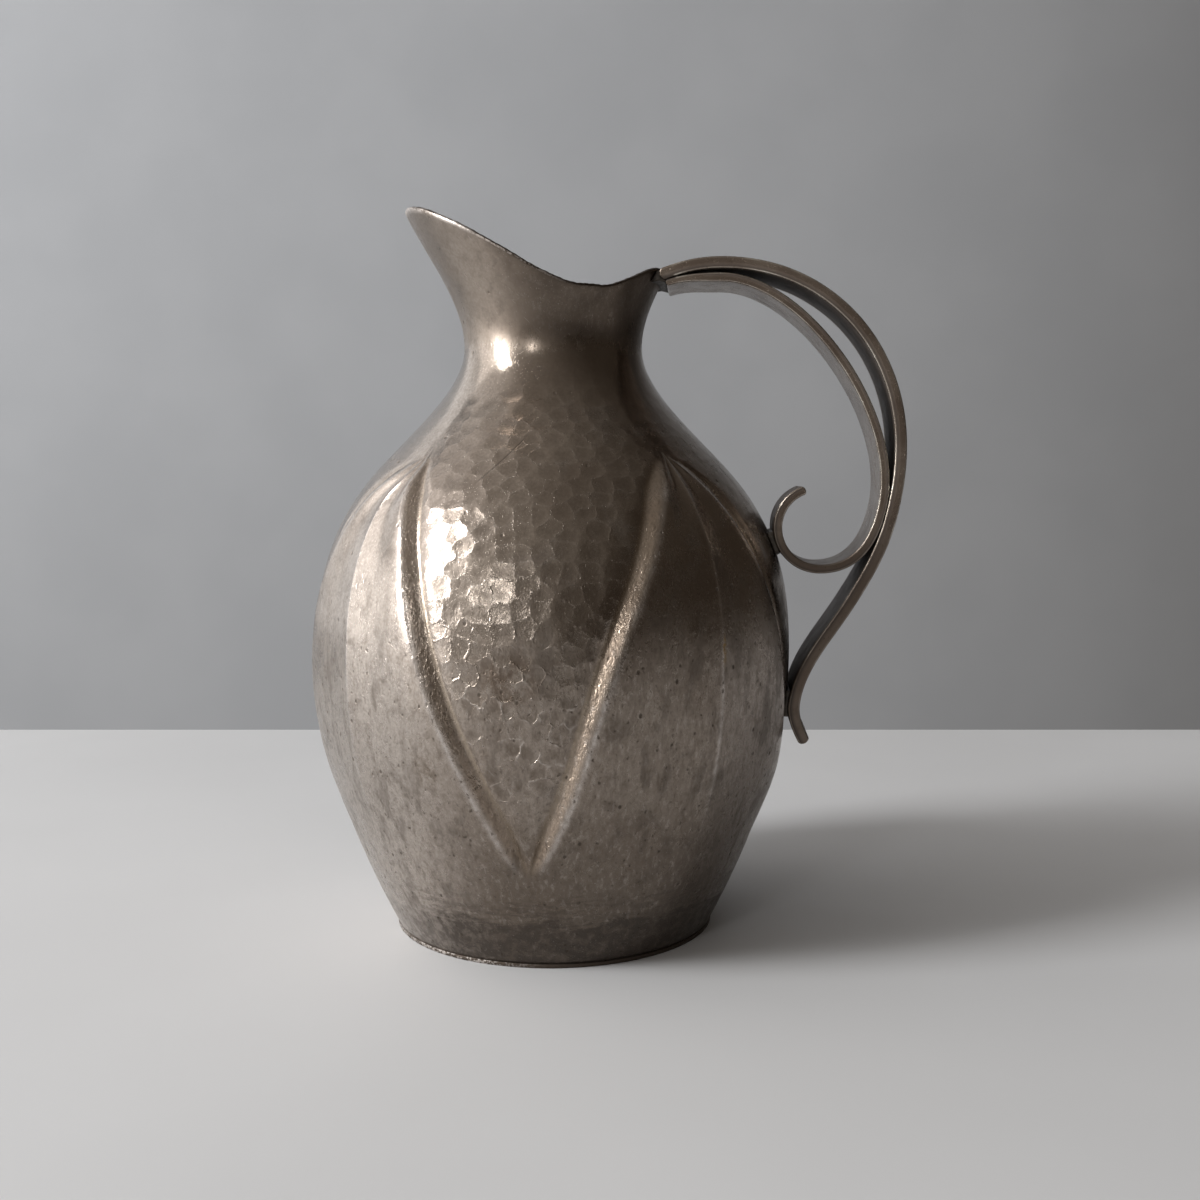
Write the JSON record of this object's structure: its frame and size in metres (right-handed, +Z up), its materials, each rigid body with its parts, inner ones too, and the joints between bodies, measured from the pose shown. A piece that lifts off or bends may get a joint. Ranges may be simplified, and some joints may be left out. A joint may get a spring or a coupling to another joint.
{
  "type": "pewter jug",
  "caption": "Open hammered pewter jug with an ovoid body, raised leaf ornament, saddle-cut spouted mouth and a double strap handle that ends in a scroll.",
  "frame": {"origin": "centre of the base disc's underside, on the body's axis", "axes": "+Z up along the body's axis, +X towards the handle, -X towards the spout"},
  "size_m": [0.1752, 0.1428, 0.2135],
  "materials": {
    "pewter_body": "aged hammered pewter, satin gloss, warm grey with brown patina",
    "pewter_strap": "aged pewter strap, smooth, brown patina with bright worn edges",
    "solder": "dark oxidised tin solder"
  },
  "bodies": {
    "root": {"body_shell": "pewter_body", "base_disc": "pewter_body", "base_seam": "solder", "handle_outer_strap": "pewter_strap", "handle_inner_strap": "pewter_strap", "rim_solder": "solder", "strap_solder": "solder", "scroll_solder": "solder", "tail_solder": "solder"}
  },
  "joints": []
}
